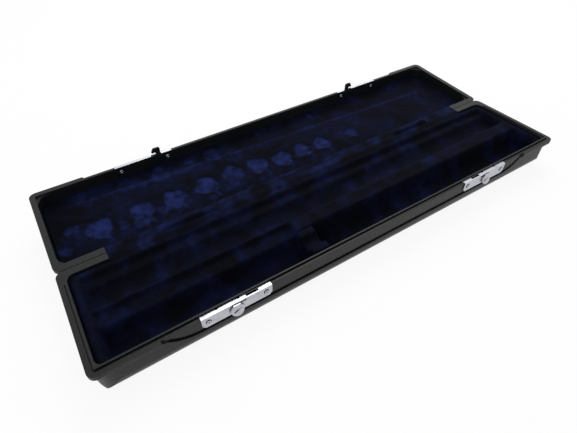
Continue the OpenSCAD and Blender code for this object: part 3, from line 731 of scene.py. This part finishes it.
class FLUTECASE_OT_hinge_cloth(bpy.types.Operator):
    """Builds the strip of velvet that covers the hinges, from the bed over both rims down to the lid's lining"""

    bl_idname = "flute_case.hinge_cloth"
    bl_label = "Hinge Cloth"

    def execute(self, context):
        thickness = 0.45
        # Its route in Y and Z: from the bed over the base's rim, and on over the shut lid's rim down its wall
        base_side = [
            (32.4, 24.5), (33.6, 25.0), (35.4, 25.2), (36.6, 25.8), (39.0, 25.92), (41.3, 25.88), (HINGE_Y, 25.5),
        ]
        lid_side = [
            (41.1, 26.1), (39.5, 26.12), (37.4, 26.12), (36.4, 26.35), (35.8, 27.2), (35.6, 30), (35.5, 34.6),
        ]
        lid_side = opened([(0, *p) for p in lid_side])[:, 1:]
        path = resampled([*base_side, *lid_side], 0.45)
        path[1:-1] = (path[:-2] + 2 * path[1:-1] + path[2:]) / 4
        xs = np.linspace(-STRIP_X, STRIP_X, 223)
        x = np.repeat(xs[:, None], len(path), 1)
        y, z = (np.repeat(path[None, :, i], len(xs), 0) for i in (0, 1))
        # Over a hinge the cloth lies on its knuckles
        over = smooth((21.5 - np.abs(np.abs(x) - HINGE_X)) / 3)
        lift = KNUCKLE_R + 0.75
        knuckle = RIM_Z + np.sqrt(np.maximum(lift**2 - (y - HINGE_Y) ** 2, 0)) - 0.1
        z = np.where(np.abs(y - HINGE_Y) < lift, np.maximum(z, z + (knuckle - z) * over), z)
        z = blur(z, (0.7, 0.9))
        z += 0.1 * ripples(x, y, 14, 41) * smooth((np.abs(y - HINGE_Y) - 2) / 3)
        slope_y, slope_z = np.gradient(y, axis=1), np.gradient(z, axis=1)
        size = np.hypot(slope_y, slope_z)
        low = np.stack([x, y + thickness * slope_z / size, z - thickness * slope_y / size], -1)
        points = np.concatenate([stacked(x, y, z), low.reshape(-1, 3)])
        crush = np.tile((0.45 * smooth(0.3 + ripples(x, y, 22, 43))).ravel(), 2)
        strip = new_object("hinge_cloth", points, slab_faces(*x.shape), cotton_velvet, {"crush": crush})
        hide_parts("base_hinge_velvet", "lid_hinge_velvet")
        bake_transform(strip)
        return {"FINISHED"}


class FLUTECASE_OT_fittings(bpy.types.Operator):
    """Gives the latches, keepers, hooks and hinges their metal finishes"""

    bl_idname = "flute_case.fittings"
    bl_label = "Latches and Hinges"

    def execute(self, context):
        kinds = {
            plated_nickel: ("latch_plate", "keeper_plate", "hinge_base_leaf", "hinge_lid_leaf"),
            slotted_nickel: ("slider",),
            blackened_steel: ("hook", "hinge_pin"),
        }
        for make, names in kinds.items():
            for side in SIDES:
                for name in names:
                    NODES[f"{side}_{name}"].material_slots[0].material = material_of(make)
        return {"FINISHED"}


def rivet_tree():
    """Domed heads and rolled ends on points: the attribute tail picks which, and turn faces them."""
    tree = bpy.data.node_groups.new("rivets", "GeometryNodeTree")
    face = tree.interface
    face.new_socket("Geometry", in_out="INPUT", socket_type="NodeSocketGeometry")
    for name in ("Head Radius", "Dome Height", "Tail Radius"):
        face.new_socket(name, in_out="INPUT", socket_type="NodeSocketFloat")
    face.new_socket("Sides", in_out="INPUT", socket_type="NodeSocketInt")
    face.new_socket("Material", in_out="INPUT", socket_type="NodeSocketMaterial")
    face.new_socket("Geometry", in_out="OUTPUT", socket_type="NodeSocketGeometry")
    given = add(tree, "NodeGroupInput").outputs
    ball = add(tree, "GeometryNodeMeshUVSphere", {"Segments": given["Sides"], "Rings": 14, "Radius": 1.0})
    size = add(
        tree, "ShaderNodeCombineXYZ",
        {"X": given["Head Radius"], "Y": given["Head Radius"], "Z": given["Dome Height"]},
    )
    place = add(tree, "GeometryNodeInputPosition").outputs[0]
    flat = add(tree, "ShaderNodeVectorMath", {0: place, 1: (1, 1, 0)}, operation="MULTIPLY").outputs[0]
    away = add(tree, "ShaderNodeVectorMath", {0: flat}, operation="LENGTH").outputs["Value"]
    marked = add(
        tree, "GeometryNodeStoreNamedAttribute",
        {"Geometry": ball.outputs["Mesh"], "Name": "from_axis", "Value": away}, data_type="FLOAT",
    )
    head = add(tree, "GeometryNodeTransform", {"Geometry": marked.outputs[0], "Scale": size.outputs[0]})
    wire_r = maths(tree, "MULTIPLY", given["Tail Radius"], 0.3)
    ring_r = maths(tree, "MULTIPLY", given["Tail Radius"], 0.7)
    ring = add(tree, "GeometryNodeCurvePrimitiveCircle", {"Resolution": given["Sides"], "Radius": ring_r})
    wire = add(tree, "GeometryNodeCurvePrimitiveCircle", {"Resolution": 10, "Radius": wire_r})
    rolled = add(
        tree, "GeometryNodeCurveToMesh", {"Curve": ring.outputs["Curve"], "Profile Curve": wire.outputs["Curve"]}
    )
    plain = add(
        tree, "GeometryNodeStoreNamedAttribute", {"Geometry": rolled.outputs[0], "Name": "from_axis", "Value": 0.5},
        data_type="FLOAT",
    )
    turn = add(tree, "GeometryNodeInputNamedAttribute", {"Name": "turn"}, data_type="FLOAT_VECTOR")
    tail = add(tree, "GeometryNodeInputNamedAttribute", {"Name": "tail"}, data_type="BOOLEAN")
    not_tail = add(tree, "FunctionNodeBooleanMath", {0: tail.outputs["Attribute"]}, operation="NOT")
    shapes = ((not_tail.outputs[0], head.outputs[0]), (tail.outputs["Attribute"], plain.outputs[0]))
    sets = [
        add(
            tree, "GeometryNodeInstanceOnPoints",
            {
                "Points": given["Geometry"], "Selection": chosen, "Instance": shape,
                "Rotation": turn.outputs["Attribute"],
            },
        )
        for chosen, shape in shapes
    ]
    both = add(tree, "GeometryNodeJoinGeometry")
    for made in sets:
        tree.links.new(made.outputs[0], both.inputs[0])
    real = add(tree, "GeometryNodeRealizeInstances", {"Geometry": both.outputs[0]})
    even = add(tree, "GeometryNodeSetShadeSmooth", {"Geometry": real.outputs[0]})
    dressed = {"Geometry": even.outputs[0], "Material": given["Material"]}
    add(tree, "NodeGroupOutput", {"Geometry": add(tree, "GeometryNodeSetMaterial", dressed).outputs[0]})
    return tree


def riveted(name, rows, lid):
    """One mesh of rivets for a body. A row is X, height over or under the rim, the head's Y and the tail's Y."""
    s = settings().metal
    points, turns, tails = [], [], []
    for row_x, height, head_y, tail_y in rows:
        for sign in (-1, 1):
            for y, is_tail in ((head_y, False), (tail_y, True)):
                points.append((sign * row_x, y, height))
                turns.append((math.pi / 2 + (OPEN_ANGLE if lid else 0), 0, 0))
                tails.append(is_tail)
    if lid:
        points = opened(points)
    mesh = bpy.data.meshes.new(name)
    mesh.from_pydata((np.asarray(points) * MM).tolist(), [], [])
    turned = mesh.attributes.new("turn", "FLOAT_VECTOR", "POINT")
    turned.data.foreach_set("vector", np.ravel(turns).astype(np.float32))
    mesh.attributes.new("tail", "BOOLEAN", "POINT").data.foreach_set("value", tails)
    piece = bpy.data.objects.new(name, mesh)
    bpy.context.scene.collection.objects.link(piece)
    maker = piece.modifiers.new("Rivets", "NODES")
    maker.node_group = bpy.data.node_groups.get("rivets") or rivet_tree()
    values = {
        "Head Radius": s.head, "Dome Height": s.dome, "Tail Radius": s.tail, "Sides": s.sides,
        "Material": material_of(rivet_nickel),
    }
    for item in maker.node_group.interface.items_tree:
        if item.in_out == "INPUT" and item.name in values:
            maker[item.identifier] = values[item.name]
    piece.data = bpy.data.meshes.new_from_object(piece.evaluated_get(bpy.context.evaluated_depsgraph_get()))
    piece.modifiers.clear()
    if not piece.data.polygons:
        raise RuntimeError(f"{name} has no faces")
    return piece


class FLUTECASE_OT_rivets(bpy.types.Operator):
    """Sets the rivets of the latches, keepers and hinges"""

    bl_idname = "flute_case.rivets"
    bl_label = "Rivets"

    def execute(self, context):
        front = [LATCH_X - RIVET_DX, LATCH_X + RIVET_DX]
        back = [HINGE_X - HINGE_RIVET_DX, HINGE_X + HINGE_RIVET_DX]
        rows = [(x, RIM_Z - RIVET_DROP, PLATE_FACE_Y, -BASE_WALL_Y) for x in front]
        rows += [(x, RIM_Z - HINGE_RIVET_DROP, LEAF_FACE_Y, BASE_WALL_Y) for x in back]
        base = riveted("base_rivets", rows, lid=False)
        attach(base, "base")
        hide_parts(*(f"{s}_{n}_rivets" for s in SIDES for n in ("latch", "hinge_base")))
        rows = [(x, RIM_Z + RIVET_DROP, PLATE_FACE_Y, LID_FRONT_Y) for x in front]
        rows += [(x, RIM_Z + HINGE_RIVET_DROP, LEAF_FACE_Y, LID_BACK_Y) for x in back]
        lid = riveted("lid_rivets", rows, lid=True)
        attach(lid, "lid")
        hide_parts(*(f"{s}_{n}_rivets" for s in SIDES for n in ("keeper", "hinge_lid")))
        return {"FINISHED"}


def lamp(name, place, target, size, power):
    data = bpy.data.lights.new(name, "AREA")
    data.shape = "RECTANGLE"
    data.size, data.size_y = size
    data.energy = power
    light = bpy.data.objects.new(name, data)
    light.location = place
    light.rotation_mode = "QUATERNION"
    light.rotation_quaternion = (Vector(target) - Vector(place)).to_track_quat("-Z", "Y")
    bpy.context.scene.collection.objects.link(light)
    return light


def seen_directly(tree):
    """1 for light that reaches the camera straight, or by a mirror or glass."""
    path = add(tree, "ShaderNodeLightPath").outputs
    first = maths(tree, "MAXIMUM", path["Is Camera Ray"], path["Is Glossy Ray"])
    return maths(tree, "MAXIMUM", first, path["Is Transmission Ray"])


class FLUTECASE_OT_stage(bpy.types.Operator):
    """Sets the floor, the soft lamps, the pale surroundings and the camera"""

    bl_idname = "flute_case.stage"
    bl_label = "Stage"

    def execute(self, context):
        s = settings().stage
        scene = context.scene
        scene.view_settings.view_transform = "Standard"

        # Matt white studio paper, which keeps a soft shadow of the case
        material, tree = new_material("studio_paper")
        matt = add(tree, "ShaderNodeBsdfDiffuse", {"Color": opaque(s.floor)}).outputs[0]
        white = add(tree, "ShaderNodeEmission", {"Color": (1, 1, 1, 1), "Strength": 1.0}).outputs[0]
        direct = maths(tree, "MULTIPLY", seen_directly(tree), 0.9)
        finish_surface(tree, add(tree, "ShaderNodeMixShader", {0: direct, 1: matt, 2: white}))
        mesh = bpy.data.meshes.new("floor")
        mesh.from_pydata([(-4, -4, 0), (4, -4, 0), (4, 4, 0), (-4, 4, 0)], [], [(0, 1, 2, 3)])
        mesh.materials.append(material)
        floor = bpy.data.objects.new("floor", mesh)
        scene.collection.objects.link(floor)

        world = bpy.data.worlds.new("studio")
        scene.world = world
        world.use_nodes = True
        tree = world.node_tree
        tree.nodes.clear()
        level = ramp(tree, seen_directly(tree), 0, 1, s.sky, 1.0)
        sky = add(tree, "ShaderNodeBackground", {"Color": (1, 1, 1, 1), "Strength": level})
        add(tree, "ShaderNodeOutputWorld", {"Surface": sky.outputs[0]})

        middle = (0, 0.03, 0.02)
        lamp("key_light", (0.35, 0.55, 0.95), middle, (0.7, 0.7), s.key)
        lamp("fill_light", (-0.75, -0.55, 0.7), middle, (0.9, 0.9), s.fill)

        turn, rise, roll = (math.radians(a) for a in CAMERA_ANGLES)
        back = Vector((math.sin(turn) * math.cos(rise), -math.cos(turn) * math.cos(rise), math.sin(rise)))
        right = Vector((0, 0, 1)).cross(back).normalized()
        up = back.cross(right)
        axes = (
            right * math.cos(roll) + up * math.sin(roll),
            up * math.cos(roll) - right * math.sin(roll),
            back,
        )
        data = bpy.data.cameras.new("camera")
        data.sensor_width, data.lens = 36.0, CAMERA_LENS
        data.clip_start, data.clip_end = 0.01, 20.0
        camera = bpy.data.objects.new("camera", data)
        camera.matrix_world = Matrix.Translation(CAMERA_PLACE) @ Matrix(axes).transposed().to_4x4()
        scene.collection.objects.link(camera)
        scene.camera = camera
        return {"FINISHED"}


OPERATORS = (
    FLUTECASE_OT_shells,
    FLUTECASE_OT_bed,
    FLUTECASE_OT_lid_lining,
    FLUTECASE_OT_hinge_cloth,
    FLUTECASE_OT_fittings,
    FLUTECASE_OT_rivets,
    FLUTECASE_OT_stage,
)


class FLUTECASE_PT_panel(bpy.types.Panel):
    """The case's pieces and their settings"""

    bl_idname = "FLUTECASE_PT_panel"
    bl_label = "Flute Case"
    bl_space_type = "VIEW_3D"
    bl_region_type = "UI"
    bl_category = "Flute Case"

    def draw(self, context):
        for group in ("shell", "velvet", "metal", "stage"):
            box = self.layout.box()
            box.label(text=group.capitalize())
            values = getattr(settings(), group)
            for key in values.bl_rna.properties.keys():
                if key not in ("rna_type", "name"):
                    box.prop(values, key)
        for operator in OPERATORS:
            self.layout.operator(operator.bl_idname)


CLASSES = (
    ShellSettings, VelvetSettings, MetalSettings, StageSettings, CaseSettings, *OPERATORS, FLUTECASE_PT_panel,
)


def register():
    for item in CLASSES:
        bpy.utils.register_class(item)
    bpy.types.Scene.flute_case = PointerProperty(type=CaseSettings)


def unregister():
    del bpy.types.Scene.flute_case
    for item in reversed(CLASSES):
        bpy.utils.unregister_class(item)


def main():
    register()
    for operator in OPERATORS:
        group, name = operator.bl_idname.split(".")
        getattr(getattr(bpy.ops, group), name)()


if __name__ == "__main__":
    main()
